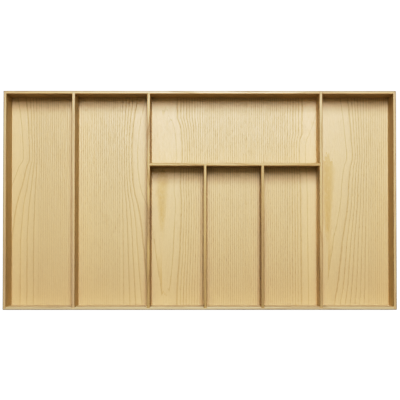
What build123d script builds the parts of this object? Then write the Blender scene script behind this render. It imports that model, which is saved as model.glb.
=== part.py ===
from build123d import *
import os

# A shallow wooden drawer insert. Four thin rails stand round a veneered base panel, and thin dividers
# split the tray into full-depth compartments at the sides, and one wide compartment at the back with
# three short ones in front of it. The corners are finger joints, the dividers' ends are let into
# housings, the panel sits in a groove, and pins hold the dividers down from below.
#
# The origin is in the middle of the footprint, on the surface that the rails stand on.
# +X points to the right, +Y to the back and +Z up. All sizes are in millimetres.

# Overall size and stock
insert_width = 850.0
insert_depth = 473.5
insert_height = 62.0
wall = 6.5  # thickness of every rail and divider

# Centre lines of the dividers
left_divider_x = -273.1
middle_divider_x = -111.1
right_divider_x = 262.0
left_short_divider_x = 11.3
right_short_divider_x = 135.7
cross_divider_y = 77.3

# Base panel: a core with veneer on both faces, let into a groove round the rails
panel_rise = 2.0  # from the rails' bottom edges to the underside of the panel
core_thickness = 2.8
leaf_thickness = 0.6
groove_depth = 3.0
face_joints_x = (-271.0, 102.0)  # seams between the top face's leaves, the first under a divider
backing_joints_x = (-130.0, 150.0)  # and between the underside's

# Joinery
finger_count = 5  # odd, so that a side rail has the top and the bottom finger
housing_depth = wall / 3
outer_round = 1.0  # on the assembled tray's outer edges
arris_round = 1.2  # on the edges that a hand meets inside

# Panel pins
pin_length = 20.0
pin_radius = 0.7
pin_head_radius = 1.6
pin_head_height = 0.9
pin_tip_height = 1.8
pins_per_long_divider = 4
pins_per_short_divider = 3

# Worked out from the sizes above
panel_thickness = core_thickness + 2 * leaf_thickness
panel_top = panel_rise + panel_thickness
panel_width = insert_width - 2 * wall + 2 * groove_depth
panel_depth = insert_depth - 2 * wall + 2 * groove_depth
divider_height = insert_height - panel_top
finger_height = insert_height / finger_count
inner_back_y = insert_depth / 2 - wall
cross_front_y = cross_divider_y - wall / 2
cross_left_x = middle_divider_x + wall / 2
cross_right_x = right_divider_x - wall / 2
on_floor = (Align.CENTER, Align.CENTER, Align.MIN)


def finger_points(first, corners):
    """The centres of every second finger's bottom face, counted from first, at the given corners."""
    levels = [index * finger_height for index in range(first, finger_count, 2)]
    return [(x, y, level) for x, y in corners for level in levels]


def evenly(start, end, count):
    """Middles of count equal stretches between start and end."""
    step = (end - start) / count
    return [start + step * (index + 0.5) for index in range(count)]


def cut_panel_groove():
    """Cuts the base panel's groove from the part that is being built."""
    with Locations((0, 0, panel_rise)):
        Box(panel_width, panel_depth, panel_thickness, align=on_floor, mode=Mode.SUBTRACT)


def cut_housings(points, width, depth):
    """Cuts the housings that take dividers' ends, from the top of the panel to the top edge."""
    with Locations(*[(x, y, panel_top) for x, y in points]):
        Box(width, depth, divider_height, align=on_floor, mode=Mode.SUBTRACT)


def rounded_tray_block():
    """Adds the whole tray's block, outer edges rounded: each rail is one slice of it."""
    Box(insert_width, insert_depth, insert_height, align=on_floor)
    fillet(edges(), outer_round)


os.makedirs("parts", exist_ok=True)

# Pins, pointing up, heads flush with the underside of the panel
long_pin_rows = evenly(-inner_back_y, inner_back_y, pins_per_long_divider)
short_pin_rows = evenly(-inner_back_y, cross_front_y, pins_per_short_divider)
cross_pin_rows = evenly(cross_left_x, cross_right_x, pins_per_short_divider)
long_divider_lines = (left_divider_x, middle_divider_x, right_divider_x)
short_divider_lines = (left_short_divider_x, right_short_divider_x)
pin_points = [(x, y) for x in long_divider_lines for y in long_pin_rows]
pin_points += [(x, y) for x in short_divider_lines for y in short_pin_rows]
pin_points += [(x, cross_divider_y) for x in cross_pin_rows]

with BuildPart() as single_pin:
    with BuildSketch(Plane.XZ):
        with BuildLine():
            Polyline(
                (0, 0),
                (pin_head_radius, 0),
                (pin_radius, pin_head_height),
                (pin_radius, pin_length - pin_tip_height),
                (0, pin_length),
                close=True,
            )
        make_face()
    revolve(axis=Axis.Z)

with BuildPart() as divider_pins:
    with Locations(*[(x, y, panel_rise) for x, y in pin_points]):
        add(single_pin.part)


def side_rail(side):
    """A side rail, on the left for side = -1 and on the right for side = 1.

    Its top and bottom fingers run through both corners.
    """
    middle_x = side * (insert_width - wall) / 2
    corners = [(middle_x, end * (insert_depth - wall) / 2) for end in (-1, 1)]
    with BuildPart() as rail:
        rounded_tray_block()
        with BuildSketch(Plane(origin=(middle_x, 0, 0))):
            Rectangle(wall, insert_depth)
        extrude(amount=insert_height, mode=Mode.INTERSECT)
        inner_face = rail.faces().filter_by(Axis.X).sort_by(Axis.X)[0 if side > 0 else -1]
        fillet(inner_face.edges().filter_by(Axis.Y), arris_round)
        with Locations(*finger_points(1, corners)):
            Box(wall, wall, finger_height, align=on_floor, mode=Mode.SUBTRACT)
        cut_panel_groove()
    return rail


def end_rail(end, divider_lines):
    """The front rail for end = -1 or the back rail for end = 1, housed for the given dividers."""
    middle_y = end * (insert_depth - wall) / 2
    housing_y = end * (inner_back_y + housing_depth / 2)
    corners = [(side * (insert_width - wall) / 2, middle_y) for side in (-1, 1)]
    with BuildPart() as rail:
        rounded_tray_block()
        with BuildSketch(Plane(origin=(0, middle_y, 0))):
            Rectangle(insert_width, wall)
        extrude(amount=insert_height, mode=Mode.INTERSECT)
        inner_face = rail.faces().filter_by(Axis.Y).sort_by(Axis.Y)[0 if end > 0 else -1]
        fillet(inner_face.edges().filter_by(Axis.X), arris_round)
        with Locations(*finger_points(0, corners)):
            Box(wall, wall, finger_height, align=on_floor, mode=Mode.SUBTRACT)
        cut_panel_groove()
        cut_housings([(x, housing_y) for x in divider_lines], wall, housing_depth)
    return rail


def divider(start, end, run_axis):
    """A divider from start to end, its centre line's two points, standing on the base panel.

    Both ends reach into their housings, and the pins' points are cut out of its bottom edge.
    """
    middle = (Vector(*start) + Vector(*end)) * 0.5
    length = (Vector(*end) - Vector(*start)).length + 2 * housing_depth
    across_x, across_y = (length, wall) if run_axis == Axis.X else (wall, length)
    with BuildPart() as strip:
        with BuildSketch(Plane(origin=(middle.X, middle.Y, panel_top))):
            Rectangle(across_x, across_y)
        extrude(amount=divider_height)
        fillet(strip.faces().sort_by(Axis.Z)[-1].edges().filter_by(run_axis), arris_round)
        add(divider_pins.part, mode=Mode.SUBTRACT)
    return strip


def long_divider(line_x, cross_side=0):
    """A full-depth divider, housed for the cross divider on one side (1 is right, -1 is left)."""
    plain = divider((line_x, -inner_back_y), (line_x, inner_back_y), Axis.Y)
    if cross_side == 0:
        return plain
    with BuildPart() as housed:
        add(plain.part)
        housing_x = line_x + cross_side * (wall - housing_depth) / 2
        cut_housings([(housing_x, cross_divider_y)], housing_depth, wall)
    return housed


def panel_layer(bottom, thickness, left_x, right_x):
    """One sheet of the base panel between two X positions, drilled by the pins."""
    with BuildPart() as sheet:
        with BuildSketch(Plane(origin=((left_x + right_x) / 2, 0, bottom))):
            Rectangle(right_x - left_x, panel_depth)
        extrude(amount=thickness)
        add(divider_pins.part, mode=Mode.SUBTRACT)
    return sheet


left_side_rail = side_rail(-1)
right_side_rail = side_rail(1)
back_rail = end_rail(1, long_divider_lines)
front_rail = end_rail(-1, long_divider_lines + short_divider_lines)

left_divider = long_divider(left_divider_x)
middle_divider = long_divider(middle_divider_x, cross_side=1)
right_divider = long_divider(right_divider_x, cross_side=-1)

with BuildPart() as cross_divider:
    add(divider((cross_left_x, cross_divider_y), (cross_right_x, cross_divider_y), Axis.X).part)
    front_housing_y = cross_front_y + housing_depth / 2
    cut_housings([(x, front_housing_y) for x in short_divider_lines], wall, housing_depth)

left_short_divider, right_short_divider = [
    divider((x, -inner_back_y), (x, cross_front_y), Axis.Y) for x in short_divider_lines
]

base_core = panel_layer(
    panel_rise + leaf_thickness, core_thickness, -panel_width / 2, panel_width / 2
)

pieces = {
    "left_side_rail": left_side_rail,
    "right_side_rail": right_side_rail,
    "back_rail": back_rail,
    "front_rail": front_rail,
    "left_divider": left_divider,
    "middle_divider": middle_divider,
    "right_divider": right_divider,
    "cross_divider": cross_divider,
    "left_short_divider": left_short_divider,
    "right_short_divider": right_short_divider,
    "base_core": base_core,
    "divider_pins": divider_pins,
}

# The veneer leaves, side by side across the panel
leaf_layers = (
    ("face_leaf", panel_top - leaf_thickness, face_joints_x),
    ("backing_leaf", panel_rise, backing_joints_x),
)
for layer_name, layer_bottom, joints_x in leaf_layers:
    bounds_x = (-panel_width / 2, *joints_x, panel_width / 2)
    for index, place in enumerate(("left", "middle", "right")):
        pieces[f"{layer_name}_{place}"] = panel_layer(
            layer_bottom, leaf_thickness, bounds_x[index], bounds_x[index + 1]
        )

for node_name, piece in pieces.items():
    piece.part.label = node_name
    export_step(piece.part, f"parts/{node_name}.step")
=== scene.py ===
import logging
import math
from dataclasses import dataclass
from enum import Enum
from typing import Any

import bpy
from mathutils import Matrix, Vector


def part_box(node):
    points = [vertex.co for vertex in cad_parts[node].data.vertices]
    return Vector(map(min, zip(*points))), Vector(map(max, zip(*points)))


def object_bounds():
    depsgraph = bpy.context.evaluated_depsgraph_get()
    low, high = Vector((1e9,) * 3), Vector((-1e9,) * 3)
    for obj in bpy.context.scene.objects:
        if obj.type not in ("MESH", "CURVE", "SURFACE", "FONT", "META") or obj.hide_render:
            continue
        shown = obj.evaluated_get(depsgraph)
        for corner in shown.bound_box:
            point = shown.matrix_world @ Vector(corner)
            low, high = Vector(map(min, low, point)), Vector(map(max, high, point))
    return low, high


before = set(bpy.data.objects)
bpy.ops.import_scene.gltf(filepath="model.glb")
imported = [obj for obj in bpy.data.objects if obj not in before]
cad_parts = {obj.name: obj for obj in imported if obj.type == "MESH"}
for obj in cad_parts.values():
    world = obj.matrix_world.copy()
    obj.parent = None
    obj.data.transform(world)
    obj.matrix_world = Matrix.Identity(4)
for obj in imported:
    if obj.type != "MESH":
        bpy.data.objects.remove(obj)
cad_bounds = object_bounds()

# A drawer organizer insert: thin strips of solid ash round and across a base of crown-cut ash veneer.
# Everything is in metres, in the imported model's frame: +X right, +Y back, +Z up.

log = logging.getLogger("drawer_insert")

MILLIMETRE = 0.001

HALF_SIZE = (cad_bounds[1] - cad_bounds[0]) / 2 / MILLIMETRE

Colour = tuple[float, float, float]
Points = tuple[tuple[float, float], ...]


class Run(Enum):
    """The way a strip's grain runs."""

    LEFT_TO_RIGHT = "X"
    FRONT_TO_BACK = "Y"


class Signal:
    """The output of a shader node, with Python's operators for its arithmetic."""

    def __init__(self, bench: "Bench", socket: bpy.types.NodeSocket) -> None:
        """Wraps one output socket of the bench's node tree."""
        self.bench = bench
        self.socket = socket

    def __add__(self, other: "Signal | float") -> "Signal":
        """Self plus other."""
        return self.bench.maths("ADD", self, other)

    __radd__ = __add__

    def __sub__(self, other: "Signal | float") -> "Signal":
        """Self minus other."""
        return self.bench.maths("SUBTRACT", self, other)

    def __rsub__(self, other: float) -> "Signal":
        """Other minus self."""
        return self.bench.maths("SUBTRACT", other, self)

    def __mul__(self, other: "Signal | float") -> "Signal":
        """Self times other."""
        return self.bench.maths("MULTIPLY", self, other)

    __rmul__ = __mul__

    def __truediv__(self, other: "Signal | float") -> "Signal":
        """Self divided by other."""
        return self.bench.maths("DIVIDE", self, other)

    def __rpow__(self, other: float) -> "Signal":
        """Other to the power of self."""
        return self.bench.maths("POWER", other, self)

    def __neg__(self) -> "Signal":
        """Zero minus self."""
        return self.bench.maths("MULTIPLY", self, -1.0)

    def __abs__(self) -> "Signal":
        """The size of self without its sign."""
        return self.bench.maths("ABSOLUTE", self)

    def root(self) -> "Signal":
        """The square root of self."""
        return self.bench.maths("SQRT", self)

    def floor(self) -> "Signal":
        """The whole number at or below self."""
        return self.bench.maths("FLOOR", self)

    def fraction(self) -> "Signal":
        """What self has past its floor."""
        return self.bench.maths("FRACT", self)

    def at_least(self, other: "Signal | float") -> "Signal":
        """The larger of self and other."""
        return self.bench.maths("MAXIMUM", self, other)

    def at_most(self, other: "Signal | float") -> "Signal":
        """The smaller of self and other."""
        return self.bench.maths("MINIMUM", self, other)

    def rise(self, start: "Signal | float", end: "Signal | float") -> "Signal":
        """A smooth step on self.

        Args:
            start: where the step leaves 0.
            end: where it reaches 1.

        Returns:
            The step, 0 below start and 1 above end.
        """
        return self.bench.node(
            "ShaderNodeMapRange",
            {"interpolation_type": "SMOOTHSTEP"},
            {"Value": self, "From Min": start, "From Max": end},
        )


class Bench:
    """A material's node tree and the few ways in which this script adds nodes to it."""

    def __init__(self, name: str) -> None:
        """Starts a new material.

        Args:
            name: the material's name.
        """
        self.material = bpy.data.materials.new(name)
        self.material.use_nodes = True
        self.tree = self.material.node_tree
        self.shader = self.tree.nodes["Principled BSDF"]

    def node(
        self,
        kind: str,
        settings: dict[str, Any] | None = None,
        inputs: dict[str | int, Any] | None = None,
        output: str | int = 0,
    ) -> Signal:
        """Adds one node.

        Args:
            kind: the node's type.
            settings: properties to set before the sockets, such as a Math node's operation or a
                curve's points.
            inputs: values or signals for the input sockets, by name or number.
            output: the output socket to hand back, by name or number.

        Returns:
            The chosen output as a signal.
        """
        made = self.tree.nodes.new(kind)
        for key, value in (settings or {}).items():
            if key == "curve":
                self._set_curve(made, value)
            else:
                setattr(made, key, value)
        for key, value in (inputs or {}).items():
            self._feed(made.inputs[key], value)
        return Signal(self, made.outputs[output])

    def _feed(self, socket: bpy.types.NodeSocket, value: Any) -> None:
        """Links a signal to a socket, or sets the socket's own value.

        Args:
            socket: the input socket.
            value: a signal, a colour or a number.
        """
        if isinstance(value, Signal):
            self.tree.links.new(value.socket, socket)
        elif isinstance(value, tuple) and len(value) == 3 and socket.type == "RGBA":
            socket.default_value = (*value, 1.0)
        else:
            socket.default_value = value

    @staticmethod
    def _set_curve(node: bpy.types.Node, points: Points) -> None:
        """Replaces a float curve's points.

        Args:
            node: the curve's node.
            points: the new points, from left to right.
        """
        curve = node.mapping.curves[0]
        while len(curve.points) < len(points):
            curve.points.new(0.5, 0.5)
        for point, (place, value) in zip(curve.points, points):
            point.location = (place, value)
            point.handle_type = "AUTO_CLAMPED"
        node.mapping.update()

    def maths(self, operation: str, *values: Signal | float) -> Signal:
        """Adds a Math node on one, two or three values."""
        return self.node(
            "ShaderNodeMath", {"operation": operation}, dict(enumerate(values))
        )

    def place(self) -> tuple[Signal, Signal, Signal]:
        """The point on the surface, in millimetres.

        Returns:
            Its X, Y and Z in the model's frame.
        """
        where = self.node("ShaderNodeTexCoord", output="Object")
        axes = [
            self.node("ShaderNodeSeparateXYZ", inputs={0: where}, output=axis)
            for axis in ("X", "Y", "Z")
        ]
        return tuple(axis / MILLIMETRE for axis in axes)

    def point(self, x: Signal | float, y: Signal | float, z: Signal | float) -> Signal:
        """Three numbers as one vector."""
        return self.node("ShaderNodeCombineXYZ", inputs={"X": x, "Y": y, "Z": z})

    def noise(self, where: Signal, detail: float = 2.0, rough: float = 0.5) -> Signal:
        """Soft noise of scale 1, as a signal centred on 0.

        Args:
            where: the point to read it at, already scaled.
            detail: how many finer layers it has.
            rough: how strong each finer layer is beside the one before it.

        Returns:
            Noise from about -0.5 to 0.5.
        """
        raw = self.node(
            "ShaderNodeTexNoise",
            inputs={"Vector": where, "Scale": 1.0, "Detail": detail, "Roughness": rough},
        )
        return raw - 0.5

    def chance(self, number: Signal) -> Signal:
        """Draws a random value for each whole number.

        Args:
            number: the whole number.

        Returns:
            A value from 0 to 1, always the same for the same number.
        """
        return self.node(
            "ShaderNodeTexWhiteNoise", {"noise_dimensions": "1D"}, {"W": number}, "Value"
        )

    def blend(
        self, share: Signal | float, first: Signal | Colour, second: Signal | Colour
    ) -> Signal:
        """Mixes two colours.

        Args:
            share: how much of the second colour shows, from 0 to 1.
            first: the colour at 0.
            second: the colour at 1.

        Returns:
            The mixed colour.
        """
        return self.node(
            "ShaderNodeMix",
            {"data_type": "RGBA"},
            {0: share, 6: first, 7: second},
            2,
        )

    def tint(self, colour: Signal, strength: Signal) -> Signal:
        """Makes a colour lighter or darker.

        Args:
            colour: the colour.
            strength: the factor, near 1.

        Returns:
            The colour times the factor.
        """
        return self.node(
            "ShaderNodeVectorMath", {"operation": "SCALE"}, {0: colour, "Scale": strength}
        )

    def finish(
        self,
        colour: Signal,
        roughness: Signal,
        relief: Signal,
        relief_depth: float,
        **constants: Any,
    ) -> bpy.types.Material:
        """Feeds the shader.

        Args:
            colour: the base colour.
            roughness: the roughness.
            relief: the height of the surface, in units of relief_depth.
            relief_depth: the height that 1 stands for, in metres.
            constants: values for shader sockets that are the same all over.

        Returns:
            The finished material.
        """
        self._feed(self.shader.inputs["Base Color"], colour)
        self._feed(self.shader.inputs["Roughness"], roughness)
        bump = self.node(
            "ShaderNodeBump", inputs={"Height": relief, "Distance": relief_depth, "Strength": 1.0}
        )
        self._feed(self.shader.inputs["Normal"], bump)
        for name, value in constants.items():
            self._feed(self.shader.inputs[name.replace("_", " ")], value)
        return self.material


@dataclass(frozen=True)
class AshTones:
    """The colours of oiled ash, with the tones painted on it for light and shade.

    Attributes:
        pale: the wood laid down early in a year.
        warm: the wood laid down late.
        line: the rows of pores that mark a year's start.
        heart_line: the same rows where they are wide, near the heart.
        heart: the brown of a streak or of a cap at the heart's end.
        stain: the brown marks along a strip.
        painted_light_tone: the colour a strip's top, or the front of the base, is drawn towards. On the
            tops it is painted light that sets them apart from the faces, sheen on some and shade on
            others. On the base's front it is painted shade.
        rim_shade_tone: the tray's outermost edge, a painted shade on the arris that turns away from the
            light.
    """

    pale: Colour = (0.690, 0.525, 0.316)
    warm: Colour = (0.645, 0.488, 0.292)
    line: Colour = (0.42, 0.315, 0.155)
    heart_line: Colour = (0.45, 0.325, 0.140)
    heart: Colour = (0.56, 0.390, 0.165)
    stain: Colour = (0.34, 0.215, 0.120)
    painted_light_tone: Colour = (0.34, 0.235, 0.140)
    rim_shade_tone: Colour = (0.17, 0.140, 0.105)


# Plain strips: their tops are drawn towards the default dark brown, painted shade.
STRIP_TONES = AshTones(pale=(0.68, 0.515, 0.230), warm=(0.60, 0.435, 0.175), line=(0.46, 0.300, 0.095))
# The side rails and left divider: their tops are drawn towards a paler, bluer tone, a painted sheen.
RAIL_TONES = AshTones(
    pale=(0.69, 0.530, 0.230),
    warm=(0.61, 0.450, 0.175),
    line=(0.46, 0.300, 0.095),
    painted_light_tone=(0.61, 0.480, 0.440),
)
# The back rail: its top is drawn towards a paler tone, a painted sheen.
BACK_TONES = AshTones(
    pale=(0.67, 0.490, 0.200),
    warm=(0.60, 0.420, 0.155),
    line=(0.45, 0.300, 0.090),
    painted_light_tone=(0.66, 0.490, 0.350),
)
# A darker, shaded copy of the wood for the cross divider, painted shade for its front face; its top is
# drawn back towards a lighter, lit tone.
SHADED_CROSS_TONES = AshTones(
    pale=(0.52, 0.370, 0.145),
    warm=(0.46, 0.315, 0.110),
    line=(0.36, 0.235, 0.070),
    painted_light_tone=(0.55, 0.380, 0.190),
)
# A lighter, lit copy of the wood for the right divider, painted light on its faces; its top is drawn back
# towards dark brown.
LIT_DIVIDER_TONES = AshTones(
    pale=(0.92, 0.750, 0.430),
    warm=(0.86, 0.670, 0.360),
    line=(0.66, 0.480, 0.220),
    painted_light_tone=(0.34, 0.215, 0.110),
)
# A paler, lit copy of the wood for the front rail, a painted sheen for its inner face that faces the
# lamp; its top is drawn back towards the default dark brown.
LIT_FRONT_TONES = AshTones(pale=(0.80, 0.690, 0.480), warm=(0.75, 0.630, 0.420), line=(0.60, 0.470, 0.280))


@dataclass(frozen=True)
class Flank:
    """One side of a leaf's heart.

    Attributes:
        edge: how far the heart's edge lies from the crown line, in millimetres, as (place, distance)
            with place from 0 at the leaf's front end to 1 at its back end. Below 0 there is no heart.
        widest: how far it lies where the heart is widest.
        pull: how far, at most, the narrowing heart draws its first rings in.
        span: the whole range of distances that the edge's curve can give.
    """

    edge: Points
    widest: float
    pull: float = 60.0
    span: float = 120.0

    def distance(self, bench: Bench, place: Signal) -> Signal:
        """How far the heart's edge lies from the crown line.

        Args:
            bench: the material's bench.
            place: the place along the leaf, from 0 at its front end to 1 at its back end.

        Returns:
            The distance, in millimetres.
        """
        curve = tuple((where, 0.5 + edge / self.span) for where, edge in self.edge)
        height = bench.node("ShaderNodeFloatCurve", {"curve": curve}, {"Value": place})
        return self.span * (height - 0.5)


# The edges of the three leaves' hearts. In each, the rings bulge out a little behind the middle.
LEFT_LEAF_HEART = Flank(
    edge=(
        (0.00, -20.0),
        (0.20, -8.0),
        (0.39, 5.0),
        (0.49, 17.0),
        (0.58, 35.0),
        (0.66, 49.0),
        (0.71, 59.0),
        (0.82, 57.0),
        (1.00, 46.0),
    ),
    widest=59.0,
)
MIDDLE_LEAF_LEFT = Flank(
    edge=(
        (0.00, -14.0),
        (0.05, -2.0),
        (0.13, 4.0),
        (0.25, 13.0),
        (0.39, 23.0),
        (0.47, 32.0),
        (0.58, 49.0),
        (0.70, 54.0),
        (0.82, 51.0),
        (1.00, 35.0),
    ),
    widest=54.0,
)
MIDDLE_LEAF_RIGHT = Flank(
    edge=(
        (0.00, -20.0),
        (0.05, -4.0),
        (0.08, 15.0),
        (0.16, 20.0),
        (0.23, 23.0),
        (0.39, 27.0),
        (0.49, 29.0),
        (0.56, 26.0),
        (0.65, 27.0),
        (0.71, 31.0),
        (0.82, 29.0),
        (0.88, 20.0),
        (0.92, 8.0),
        (1.00, -20.0),
    ),
    widest=31.0,
    pull=14.0,
)
RIGHT_LEAF_LEFT = Flank(
    edge=(
        (0.00, 42.0),
        (0.30, 44.0),
        (0.60, 46.0),
        (0.71, 49.0),
        (0.77, 48.0),
        (0.82, 39.0),
        (0.90, 27.0),
        (1.00, 15.0),
    ),
    widest=49.0,
    pull=9.0,
)
RIGHT_LEAF_RIGHT = Flank(
    edge=(
        (0.00, -14.0),
        (0.13, 0.0),
        (0.30, 11.0),
        (0.39, 19.0),
        (0.49, 28.0),
        (0.58, 31.0),
        (0.66, 36.0),
        (0.71, 42.0),
        (0.82, 38.0),
        (1.00, 27.0),
    ),
    widest=42.0,
)


@dataclass(frozen=True)
class Streak:
    """A soft brown streak along a leaf's heart, with a ragged tip at its back end.

    Attributes:
        front: where it fades out at the front, in millimetres.
        back: where its tip is.
        half_width: half its width at the back; at the front it is a third as wide.
        strength: how brown it is, from 0 to a little over 1.
        fade: how long the fading at the front takes.
        tip: how long the tip's darker outline is.
    """

    front: float
    back: float
    half_width: float
    strength: float
    fade: float = 70.0
    tip: float = 9.0

    def share(self, bench: Bench, across: Signal, y: Signal, seed: float) -> Signal:
        """How brown the leaf is.

        Args:
            bench: the material's bench.
            across: the distance from the crown line, in millimetres.
            y: the point's Y, in millimetres.
            seed: what sets this leaf's raggedness apart.

        Returns:
            The share of brown, from 0 to 1.
        """
        ragged = bench.noise(bench.point(across / 4.0, y / 11.0, seed + 17.0), 2.0)
        wedge = self.half_width * (0.35 + 0.65 * y.rise(self.front, self.back))
        inside = 1.0 - (abs(across) + 12.0 * ragged).rise(0.2 * wedge, 1.35 * wedge)
        front = (y + 30.0 * ragged).rise(self.front, self.front + self.fade)
        past_tip = (y + 1.7 * abs(across) + 48.0 * ragged).rise(self.back - self.tip, self.back)
        brown = self.strength * (0.85 + 1.4 * ragged) * inside * front * (1.0 - past_tip)
        outline = 2.2 * self.strength * past_tip * (1.0 - past_tip) * inside
        return brown + outline


@dataclass(frozen=True)
class Figure:
    """Where a point of a leaf lies in its figure.

    Attributes:
        across: its distance from the crown line, in millimetres, below 0 on the left.
        edge: how far the heart's edge lies from the crown line there.
        beyond: how far it is outside the heart's edge, below 0 inside it.
        spread: how far it is from the heart where the heart is widest, on the same ring.
        rings: how many rings lie between it and the heart.
        crowding: how many rings there are in a millimetre there.
    """

    across: Signal
    edge: Signal
    beyond: Signal
    spread: Signal
    rings: Signal
    crowding: Signal


@dataclass(frozen=True)
class CrownVeneer:
    """A leaf of crown-cut ash: an open heart between flanks of rings that soon run straight.

    Lengths are in millimetres. A ring close to the heart follows the heart's edge; the farther out
    a ring is the less it bends, and past the reach it is straight.

    Attributes:
        name: the material's name.
        crown_x: where the leaf's crown line is.
        left: the heart's left side.
        right: its right side.
        streak: the brown streak along the heart, if there is one.
        reach: how far from the crown line the rings are straight.
        ring: from one straight ring to the next.
        wide_rings: how many rings fewer there are because the first ones are wide.
        wide_reach: how far out the wide rings go.
        line_width: how wide the pores' row is.
        sway: how far the whole figure wanders over the leaf's length.
        shiver: how far a ring wavers.
        zigzag: how ragged the heart's ends are.
        uneven: how much the rings' widths differ, in rings.
        front_shade: how much painted shade darkens the base towards the front, where less of the lamp's
            light reaches it.
        relief_depth: the height of the relief, in metres.
        seed: what sets this leaf's grain apart.
        tones: its colours.
        front_end: where the leaf's front end is.
        length: how long the leaf is.
    """

    name: str
    crown_x: float
    left: Flank
    right: Flank
    streak: Streak | None = None
    reach: float = 92.0
    ring: float = 4.7
    wide_rings: float = 2.55
    wide_reach: float = 13.0
    line_width: float = 1.9
    sway: float = 2.4
    shiver: float = 1.6
    zigzag: float = 52.0
    uneven: float = 0.55
    front_shade: float = 0.17
    relief_depth: float = 0.00025
    seed: float = 0.0
    tones: AshTones = AshTones()
    front_end: float = -236.0
    length: float = 472.0

    def figure(self, bench: Bench, x: Signal, y: Signal) -> Figure:
        """Lays the growth rings round the heart.

        Args:
            bench: the material's bench.
            x: the point's X, in millimetres.
            y: its Y.

        Returns:
            Where the point lies in the figure.
        """
        sway = self.sway * bench.noise(bench.point(self.seed, y / 90.0, 0.0), 1.0)
        shiver = self.shiver * bench.noise(bench.point(x / 26.0, y / 20.0, self.seed), 2.0)
        across = x - self.crown_x + sway + shiver
        side = abs(across)
        is_right = across.rise(-0.5, 0.5)

        ragged = self.zigzag * bench.noise(bench.point(x / 5.0, y / 60.0, self.seed + 3.0), 1.0)
        place = (y + ragged * (1.0 - side.rise(14.0, 30.0)) - self.front_end) / self.length
        left, right = (flank.distance(bench, place) for flank in (self.left, self.right))
        edge = left + is_right * (right - left)
        widest = self.left.widest + is_right * (self.right.widest - self.left.widest)
        pull = self.left.pull + is_right * (self.right.pull - self.left.pull)

        drawn_in = edge.at_least(widest - pull)
        fan = (self.reach - widest) / (self.reach - drawn_in)
        spread = ((side - drawn_in) * fan).at_least(side - widest)
        fading = math.e ** (spread.at_least(0.0) / -self.wide_reach)
        uneven = self.uneven * bench.noise(
            bench.point(spread / 11.0, y / 900.0, self.seed + 7.0), 1.0
        )
        rings = spread / self.ring - self.wide_rings * (1.0 - fading) + uneven
        crowding = (1.0 / self.ring - (self.wide_rings / self.wide_reach) * fading) * fan
        return Figure(across, edge, side - edge, spread, rings, crowding)

    def material(self) -> bpy.types.Material:
        """Builds the leaf's material.

        Returns:
            The finished material.
        """
        bench = Bench(self.name)
        x, y, _ = bench.place()
        figure = self.figure(bench, x, y)

        age = figure.rings.fraction()
        year = figure.rings.floor()
        outside = figure.rings.rise(0.45, 0.55)
        far = figure.spread.rise(12.0, 45.0)
        width = self.line_width * (1.7 - 0.7 * far) * figure.crowding
        width = width.at_least(0.06).at_most(0.42)
        line = age.rise(0.0, width * 0.35) * (1.0 - age.rise(width * 0.55, width * 1.3)) * outside
        heart_line = figure.beyond.rise(-0.8, 0.0) * (1.0 - figure.beyond.rise(0.7, 2.2))
        cap = 0.7 * (1.0 - figure.edge.rise(3.0, 16.0)) * (1.0 - figure.beyond.rise(-2.0, 1.0))
        late = age.rise(width, 1.0)

        bold = (0.28 + 0.50 * bench.chance(year + 5.0 + self.seed)) * (1.0 - far) + 0.60 * far
        year_tone = bench.chance(year + self.seed)
        pores = bench.noise(bench.point(x / 0.42, y / 9.0, self.seed), 1.0).rise(0.02, 0.22)
        fibre = bench.noise(bench.point(x / 1.6, y / 160.0, self.seed + 5.0), 3.0, 0.6)
        cloud = bench.noise(bench.point(x / 90.0, y / 210.0, self.seed + 9.0), 2.0)
        speck = bench.noise(bench.point(x / 2.0, y / 9.0, self.seed + 11.0), 1.0)
        thread = bench.noise(bench.point(x / 0.9, y / 40.0, self.seed + 13.0), 1.0)

        colour = bench.blend(0.45 * late + 0.30 * year_tone, self.tones.pale, self.tones.warm)
        if self.streak:
            brown = self.streak.share(bench, figure.across, y, self.seed)
            colour = bench.blend(brown, colour, self.tones.heart)
        colour = bench.blend(cap, colour, self.tones.heart)
        drawn = (line * bold).at_least((0.62 + 0.3 * cap) * heart_line) * (0.85 + 0.3 * pores)
        line_colour = bench.blend(far, self.tones.heart_line, self.tones.line)
        colour = bench.blend(drawn, colour, line_colour)
        colour = bench.tint(colour, 1.0 + 0.10 * fibre + 0.08 * cloud - 0.05 * pores + 0.09 * speck)
        # Painted shade: the base darkens towards the front, where less of the lamp's light reaches it.
        front_shade_mask = 1.0 - y.rise(-260.0, -60.0)
        colour = bench.blend(self.front_shade * front_shade_mask, colour, self.tones.painted_light_tone)
        roughness = 0.39 + 0.06 * line + 0.05 * pores + 0.05 * cloud
        relief = thread - (line * (0.6 + 0.4 * pores)) - 0.1 * pores
        return bench.finish(colour, roughness, relief, self.relief_depth, IOR=1.74)


def dress(node_name: str, material: bpy.types.Material) -> None:
    """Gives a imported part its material.

    Args:
        node_name: the part's node.
        material: the finish that its surface gets.
    """
    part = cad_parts[node_name]
    part.data.materials.clear()
    part.data.materials.append(material)
    low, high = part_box(node_name)
    size = (high - low) / MILLIMETRE
    log.info("%s: %.1f x %.1f x %.1f mm, %s", node_name, *size, material.name)


@dataclass(frozen=True)
class Stain:
    """A brown mark along a strip.

    Attributes:
        start: where it starts along the strip, in millimetres.
        end: where it ends.
        strength: how dark it is.
    """

    start: float
    end: float
    strength: float

    def share(self, along: Signal, mottle: Signal) -> Signal:
        """How brown the strip is.

        Args:
            along: the place along the strip, in millimetres.
            mottle: what breaks the mark up, from 0 to about 1.

        Returns:
            The share of brown, from 0 to 1.
        """
        soft = 0.35 * (self.end - self.start)
        inside = along.rise(self.start, self.start + soft) * (1.0 - along.rise(self.end - soft, self.end))
        return self.strength * inside * mottle


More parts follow.
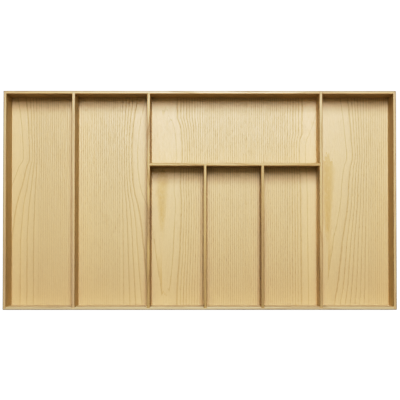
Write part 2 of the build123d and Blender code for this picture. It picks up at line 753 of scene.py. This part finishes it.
@dataclass(frozen=True)
class SolidAsh:
    """A strip of solid ash, its growth rings round a heart that lies outside the strip.

    Lengths are in millimetres. Across is measured over the strip's thickness from its middle line.

    Attributes:
        node: the strip's node.
        run: the way its grain runs.
        heart_across: where the log's heart was, across the strip.
        heart_height: and how high above the floor.
        ring: from one growth ring to the next.
        rim_shade_width: how wide the band of painted shade on the tray's outermost arris is.
        top_light_share: how much of its painted light tone the strip's top takes.
        seed: what sets this strip's grain apart.
        stains: the brown marks along it.
        tones: its colours.
        relief_depth: the height of the relief, in metres.
    """

    node: str
    run: Run
    heart_across: float
    heart_height: float = -70.0
    ring: float = 3.4
    rim_shade_width: float = 2.2
    top_light_share: float = 0.28
    seed: float = 0.0
    stains: tuple[Stain, ...] = ()
    tones: AshTones = STRIP_TONES
    relief_depth: float = 0.00012

    def middle(self) -> float:
        """Finds the strip's middle line.

        Returns:
            Where it lies across the strip's run.
        """
        low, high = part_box(self.node)
        centre = (low + high) / 2 / MILLIMETRE
        return centre.y if self.run is Run.LEFT_TO_RIGHT else centre.x

    def rings(self, bench: Bench, along: Signal, across: Signal, z: Signal) -> Signal:
        """How many growth rings lie between a point and the log's heart.

        Args:
            bench: the material's bench.
            along: the point's place along the strip.
            across: its place over the strip's thickness.
            z: its height.

        Returns:
            The number of rings, with fractions.
        """
        bend = 7.0 * bench.noise(bench.point(along / 190.0, self.seed, 0.0), 2.0)
        rise = 26.0 * bench.noise(bench.point(along / 420.0, self.seed + 4.0, 0.0), 1.0)
        from_heart = across - self.heart_across + bend
        above_heart = z - self.heart_height + rise
        radius = (from_heart * from_heart + above_heart * above_heart).root()
        ripple = 0.5 * bench.noise(bench.point(along / 30.0, across / 6.0, z / 6.0 + self.seed), 2.0)
        return (radius + ripple) / self.ring

    def top_and_rim(self, x: Signal, y: Signal, z: Signal) -> tuple[Signal, Signal]:
        """Finds the strip's top and its outermost arris, where light and shade are painted.

        Args:
            x: the point's X.
            y: its Y.
            z: its height.

        Returns:
            The strip's top, and the band of painted shade on the tray's outermost arris, each from 0 to
            1.
        """
        height = 2.0 * HALF_SIZE.z
        top = z.rise(height - 1.0, height - 0.3)
        outwards = (abs(x) - HALF_SIZE.x).at_least(abs(y) - HALF_SIZE.y)
        rim = outwards.rise(-self.rim_shade_width, -0.8) * z.rise(height - 2.2, height - 0.6)
        return top, rim

    def material(self) -> bpy.types.Material:
        """Builds the strip's material.

        Returns:
            The finished material.
        """
        bench = Bench(f"ash_{self.node}")
        x, y, z = bench.place()
        along, across = (x, y) if self.run is Run.LEFT_TO_RIGHT else (y, x)
        across = across - self.middle()
        rings = self.rings(bench, along, across, z)
        top, rim = self.top_and_rim(x, y, z)

        age = rings.fraction()
        year_tone = bench.chance(rings.floor() + self.seed)
        line = age.rise(0.0, 0.10) * (1.0 - age.rise(0.22, 0.48))
        pores = bench.noise(bench.point(along / 6.0, across / 0.4, z / 0.4 + self.seed), 1.0)
        pores = pores.rise(0.03, 0.2)
        fibre = bench.noise(bench.point(along / 90.0, across / 1.1, z / 1.1 + self.seed), 3.0, 0.6)
        cloud = bench.noise(bench.point(along / 120.0, across / 30.0, z / 40.0 + self.seed), 2.0)
        mottle = (fibre + 0.5 * cloud + 0.55).at_least(0.0)

        colour = bench.blend(0.25 * age + 0.45 * year_tone, self.tones.pale, self.tones.warm)
        colour = bench.blend(line * (0.6 + 0.3 * pores), colour, self.tones.line)
        for stain in self.stains:
            colour = bench.blend(stain.share(along, mottle), colour, self.tones.stain)
        colour = bench.tint(colour, 1.0 + 0.14 * fibre + 0.10 * cloud - 0.05 * pores)
        # Painted light: the top is drawn towards its own tone, a painted sheen on some strips and painted
        # shade on others.
        colour = bench.blend(self.top_light_share * top, colour, self.tones.painted_light_tone)
        # Painted shade on the tray's outermost arris.
        colour = bench.blend(0.88 * rim, colour, self.tones.rim_shade_tone)
        roughness = 0.44 - 0.10 * top + 0.07 * line + 0.06 * pores + 0.06 * cloud + 0.1 * rim
        relief = -(line * (0.3 + 0.7 * pores)) - 0.2 * pores + 0.2 * fibre
        return bench.finish(colour, roughness, relief, self.relief_depth, IOR=1.6)

    def build(self) -> None:
        """Dresses the strip."""
        dress(self.node, self.material())


@dataclass(frozen=True)
class CrossBandedCore:
    """The base panel's core, seen only at its holes and sawn edges.

    Attributes:
        name: the material's name.
        tones: its colours.
        ply: how thick one of its layers is, in millimetres.
        relief_depth: the height of the relief, in metres.
    """

    name: str = "cross_banded_core"
    tones: AshTones = AshTones()
    ply: float = 0.95
    relief_depth: float = 0.00008

    def material(self) -> bpy.types.Material:
        """Builds the core's material.

        Returns:
            The finished material.
        """
        bench = Bench(self.name)
        x, y, z = bench.place()
        glue_line = (z / self.ply).fraction().rise(0.82, 0.98)
        fibre = bench.noise(bench.point(x / 70.0, y / 1.2, z / 0.5), 3.0, 0.6)
        colour = bench.blend(glue_line, self.tones.warm, self.tones.line)
        colour = bench.tint(colour, 1.0 + 0.25 * fibre)
        return bench.finish(colour, 0.7 + 0.1 * fibre, fibre, self.relief_depth, IOR=1.5)


@dataclass(frozen=True)
class BrightWire:
    """The panel pins' drawn steel wire.

    Attributes:
        name: the material's name.
        steel: the bright metal.
        dull: the metal where it has dulled.
        relief_depth: the height of the relief, in metres.
    """

    name: str = "bright_wire"
    steel: Colour = (0.56, 0.57, 0.58)
    dull: Colour = (0.30, 0.29, 0.27)
    relief_depth: float = 0.00002

    def material(self) -> bpy.types.Material:
        """Builds the pins' material.

        Returns:
            The finished material.
        """
        bench = Bench(self.name)
        x, y, z = bench.place()
        drawn = bench.noise(bench.point(x / 0.12, y / 0.12, z / 6.0), 2.0)
        spots = bench.noise(bench.point(x / 0.9, y / 0.9, z / 0.9), 2.0).rise(0.0, 0.3)
        colour = bench.blend(0.6 * spots, self.steel, self.dull)
        roughness = 0.32 + 0.2 * spots + 0.1 * drawn
        return bench.finish(colour, roughness, drawn, self.relief_depth, Metallic=1.0)


@dataclass(frozen=True)
class StudioPaper:
    """The paper under the insert, lit evenly from below so that it stays white round the insert.

    Attributes:
        name: the material's name.
        white: what the paper reflects of the lamps' light.
        shade: what it reflects between its fibres.
        glow: how bright it is from below.
        relief_depth: the height of the paper's tooth, in metres.
    """

    name: str = "studio_paper"
    white: Colour = (0.14, 0.14, 0.14)
    shade: Colour = (0.12, 0.12, 0.12)
    glow: float = 1.25
    relief_depth: float = 0.00005

    def material(self) -> bpy.types.Material:
        """Builds the paper's material.

        Returns:
            The finished material.
        """
        bench = Bench(self.name)
        x, y, _ = bench.place()
        tooth = bench.noise(bench.point(x / 3.0, y / 3.0, 0.0), 2.0)
        colour = bench.blend(tooth + 0.5, self.white, self.shade)
        return bench.finish(
            colour,
            0.85 + 0.1 * tooth,
            tooth,
            self.relief_depth,
            Emission_Color=(1.0, 1.0, 1.0),
            Emission_Strength=self.glow,
            Specular_IOR_Level=0.1,
        )


@dataclass
class StripWork:
    """The solid ash strips: the rails round the tray and the dividers across it.

    Attributes:
        rail_top_light_share: how much painted sheen the tops of the side rails and left divider take.
        short_top_light_share: how much painted shade the tops of the short dividers take.
    """

    rail_top_light_share: float = 0.4
    short_top_light_share: float = 0.37

    def rails(self) -> list[SolidAsh]:
        """Picks the wood of the four strips round the tray.

        Returns:
            The rails.
        """
        return [
            SolidAsh(
                "left_side_rail",
                Run.FRONT_TO_BACK,
                heart_across=50.0,
                seed=11.0,
                stains=(Stain(-290.0, -60.0, 0.35),),
                top_light_share=self.rail_top_light_share,
                tones=RAIL_TONES,
            ),
            SolidAsh(
                "right_side_rail",
                Run.FRONT_TO_BACK,
                heart_across=-64.0,
                seed=23.0,
                top_light_share=self.rail_top_light_share,
                tones=RAIL_TONES,
            ),
            SolidAsh(
                "back_rail",
                Run.LEFT_TO_RIGHT,
                heart_across=40.0,
                heart_height=-110.0,
                seed=31.0,
                top_light_share=0.5,
                tones=BACK_TONES,
            ),
            SolidAsh(
                "front_rail",
                Run.LEFT_TO_RIGHT,
                heart_across=-46.0,
                heart_height=-90.0,
                seed=47.0,
                tones=LIT_FRONT_TONES,
            ),
        ]

    def long_dividers(self) -> list[SolidAsh]:
        """Picks the wood of the full-depth dividers and of the one that crosses between two of them.

        Returns:
            The four dividers.
        """
        return [
            SolidAsh(
                "left_divider",
                Run.FRONT_TO_BACK,
                heart_across=90.0,
                seed=53.0,
                stains=(Stain(-290.0, -60.0, 0.35),),
                top_light_share=self.rail_top_light_share,
                tones=RAIL_TONES,
            ),
            SolidAsh(
                "middle_divider",
                Run.FRONT_TO_BACK,
                heart_across=-40.0,
                seed=61.0,
                stains=(
                    Stain(-290.0, -100.0, 0.5),
                    Stain(-110.0, 15.0, 1.0),
                    Stain(85.0, 190.0, 0.6),
                ),
                top_light_share=0.34,
            ),
            SolidAsh(
                "right_divider",
                Run.FRONT_TO_BACK,
                heart_across=30.0,
                seed=71.0,
                stains=(Stain(-290.0, -60.0, 0.45),),
                top_light_share=0.58,
                tones=LIT_DIVIDER_TONES,
            ),
            SolidAsh(
                "cross_divider",
                Run.LEFT_TO_RIGHT,
                heart_across=55.0,
                seed=83.0,
                top_light_share=0.55,
                tones=SHADED_CROSS_TONES,
            ),
        ]

    def short_dividers(self) -> list[SolidAsh]:
        """Picks the wood of the two dividers between the front compartments.

        Returns:
            The two dividers.
        """
        return [
            SolidAsh(
                "left_short_divider",
                Run.FRONT_TO_BACK,
                heart_across=75.0,
                seed=97.0,
                stains=(Stain(-290.0, -90.0, 0.35),),
                top_light_share=self.short_top_light_share,
            ),
            SolidAsh(
                "right_short_divider",
                Run.FRONT_TO_BACK,
                heart_across=-85.0,
                seed=101.0,
                stains=(Stain(-300.0, 20.0, 0.8),),
                top_light_share=self.short_top_light_share,
            ),
        ]

    def build(self) -> None:
        """Dresses every strip in its own piece of wood."""
        for strip in self.rails() + self.long_dividers() + self.short_dividers():
            strip.build()


@dataclass
class BasePanel:
    """The base: three slip-matched face leaves, a core, three backing leaves and the pins.

    Lengths are in millimetres.

    Attributes:
        first_crown_x: the crown line of the left leaf.
        crown_pitch: from one leaf's crown line to the next.
        backing_shift: how far the backing leaves' crown lines lie to the right of the face's.
        face_seed: what sets the face leaves' grain apart.
        backing_seed: and the first backing leaf's.
    """

    first_crown_x: float = -452.8
    crown_pitch: float = 368.2
    backing_shift: float = 60.0
    face_seed: float = 2.0
    backing_seed: float = 40.0

    def build(self) -> None:
        """Dresses the panel's layers."""
        leaves = (
            ("left", LEFT_LEAF_HEART, LEFT_LEAF_HEART, None),
            ("middle", MIDDLE_LEAF_LEFT, MIDDLE_LEAF_RIGHT, Streak(-95.0, 80.0, 16.0, 1.1)),
            ("right", RIGHT_LEAF_LEFT, RIGHT_LEAF_RIGHT, Streak(-110.0, 108.0, 17.0, 1.2)),
        )
        for index, (place, left, right, streak) in enumerate(leaves):
            crown_x = self.first_crown_x + index * self.crown_pitch
            face = CrownVeneer(
                f"face_veneer_{place}", crown_x, left, right, streak, seed=self.face_seed
            )
            dress(f"face_leaf_{place}", face.material())
            backing = CrownVeneer(
                f"backing_veneer_{place}",
                crown_x + self.backing_shift,
                right,
                left,
                streak,
                seed=self.backing_seed + index,
            )
            dress(f"backing_leaf_{place}", backing.material())
        dress("base_core", CrossBandedCore().material())
        dress("divider_pins", BrightWire().material())


@dataclass
class Studio:
    """The floor, the light and the camera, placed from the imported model's box.

    Lengths are in metres, angles in degrees and powers in watts.

    Attributes:
        floor_size: how wide the paper is.
        floor_rim: how high its far edges are turned up, to close the view at the horizon.
        lamp_place: where the long softbox hangs.
        lamp_size: its sides, the first along X.
        lamp_power: its power.
        reflector_place: where the overhead reflector hangs.
        reflector_size: its sides.
        reflector_power: its power.
        sky: how bright the room is.
        white: the softbox's colour.
        cream: the reflector's and the room's.
        camera_height: how high the camera is above the insert's top.
        camera_right: how far it is to the right of the insert's middle.
        camera_forward: how far it is in front of it.
        camera_pitch: how far it looks to the back.
        camera_roll: how far it looks to the side.
        fill: how much of the picture's width the insert takes.
        shift_x: how far the picture is shifted sideways, in widths.
        shift_y: and upwards.
        film_white: the light that prints as white.
        film_curve: the print's tone for each amount of light.
    """

    floor_size: float = 60.0
    floor_rim: float = 1.5
    lamp_place: tuple[float, float, float] = (0.12, 1.3, 3.0)
    lamp_size: tuple[float, float] = (0.75, 1.6)
    lamp_power: float = 93.0
    reflector_place: tuple[float, float, float] = (0.0, 0.05, 3.3)
    reflector_size: tuple[float, float] = (2.2, 1.3)
    reflector_power: float = 17.0
    sky: float = 0.03
    white: Colour = (1.0, 1.0, 1.0)
    cream: Colour = (1.0, 0.86, 0.46)
    camera_height: float = 1.856
    camera_right: float = 0.0214
    camera_forward: float = 0.0792
    camera_pitch: float = 1.04
    camera_roll: float = -0.19
    fill: float = 0.9851
    shift_x: float = -0.0316
    shift_y: float = 0.053
    film_white: float = 1.25
    film_curve: Points = (
        (0.0, 0.0),
        (0.05, 0.024),
        (0.12, 0.072),
        (0.22, 0.165),
        (0.36, 0.325),
        (0.60, 0.605),
        (0.90, 0.830),
        (1.25, 1.0),
    )

    def floor(self) -> None:
        """Lays the pale paper that the insert rests on, its far edges turned up."""
        bpy.ops.object.select_all(action="DESELECT")
        bpy.ops.mesh.primitive_plane_add(size=self.floor_size, location=(0.0, 0.0, 0.0))
        paper = bpy.context.object
        bpy.ops.object.mode_set(mode="EDIT")
        bpy.ops.mesh.select_mode(type="EDGE")
        bpy.ops.mesh.select_all(action="SELECT")
        bpy.ops.mesh.extrude_edges_move(TRANSFORM_OT_translate={"value": (0.0, 0.0, self.floor_rim)})
        bpy.ops.object.mode_set(mode="OBJECT")
        paper.name = "studio_floor"
        paper.data.materials.append(StudioPaper().material())

    @staticmethod
    def soft_light(
        name: str,
        place: tuple[float, float, float],
        size: tuple[float, float],
        power: float,
        colour: Colour,
    ) -> None:
        """Hangs one rectangular light that faces the insert.

        Args:
            name: the light's name.
            place: where its middle is.
            size: its sides, the first along X.
            power: its power in watts.
            colour: the colour of its light.
        """
        lamp = bpy.data.lights.new(name, "AREA")
        lamp.shape = "RECTANGLE"
        lamp.size, lamp.size_y = size
        lamp.energy = power
        lamp.color = colour
        holder = bpy.data.objects.new(name, lamp)
        holder.location = place
        holder.rotation_euler = (-holder.location).to_track_quat("-Z", "Y").to_euler()
        bpy.context.scene.collection.objects.link(holder)

    def light(self) -> None:
        """Hangs a long soft lamp behind the insert and a dim reflector over it, in a dark room."""
        self.soft_light("long_softbox", self.lamp_place, self.lamp_size, self.lamp_power, self.white)
        self.soft_light(
            "overhead_reflector",
            self.reflector_place,
            self.reflector_size,
            self.reflector_power,
            self.cream,
        )
        world = bpy.data.worlds.new("dim_room")
        world.use_nodes = True
        world.node_tree.nodes["Background"].inputs["Strength"].default_value = self.sky
        world.node_tree.nodes["Background"].inputs["Color"].default_value = (*self.cream, 1.0)
        bpy.context.scene.world = world

    def film(self) -> None:
        """Gives the picture a print film's curve: a short toe and a long soft shoulder."""
        view = bpy.context.scene.view_settings
        view.view_transform = "Standard"
        view.use_curve_mapping = True
        mapping = view.curve_mapping
        mapping.white_level = (self.film_white,) * 3
        curve = mapping.curves[3]
        while len(curve.points) < len(self.film_curve):
            curve.points.new(0.5, 0.5)
        for point, (light, print_tone) in zip(curve.points, self.film_curve):
            point.location = (light / self.film_white, print_tone)
        mapping.update()

    def camera(self) -> None:
        """Hangs the camera over the insert, looking down and a little to the back."""
        low, high = cad_bounds
        lens = bpy.data.cameras.new("overhead_camera")
        lens.lens = lens.sensor_width * self.camera_height * self.fill / (high.x - low.x)
        lens.shift_x = self.shift_x
        lens.shift_y = self.shift_y
        view = bpy.data.objects.new("overhead_camera", lens)
        view.location = (self.camera_right, -self.camera_forward, high.z + self.camera_height)
        view.rotation_euler = (math.radians(self.camera_pitch), math.radians(self.camera_roll), 0.0)
        bpy.context.scene.collection.objects.link(view)
        bpy.context.scene.camera = view

    def build(self) -> None:
        """Sets up the floor, the light, the film and the camera."""
        self.floor()
        self.light()
        self.film()
        self.camera()


def main() -> None:
    """Builds the insert's sub-assemblies in order, then the studio round them."""
    logging.basicConfig(level=logging.INFO, format="%(name)s: %(message)s")
    BasePanel().build()
    StripWork().build()
    Studio().build()


if __name__ == "__main__":
    main()
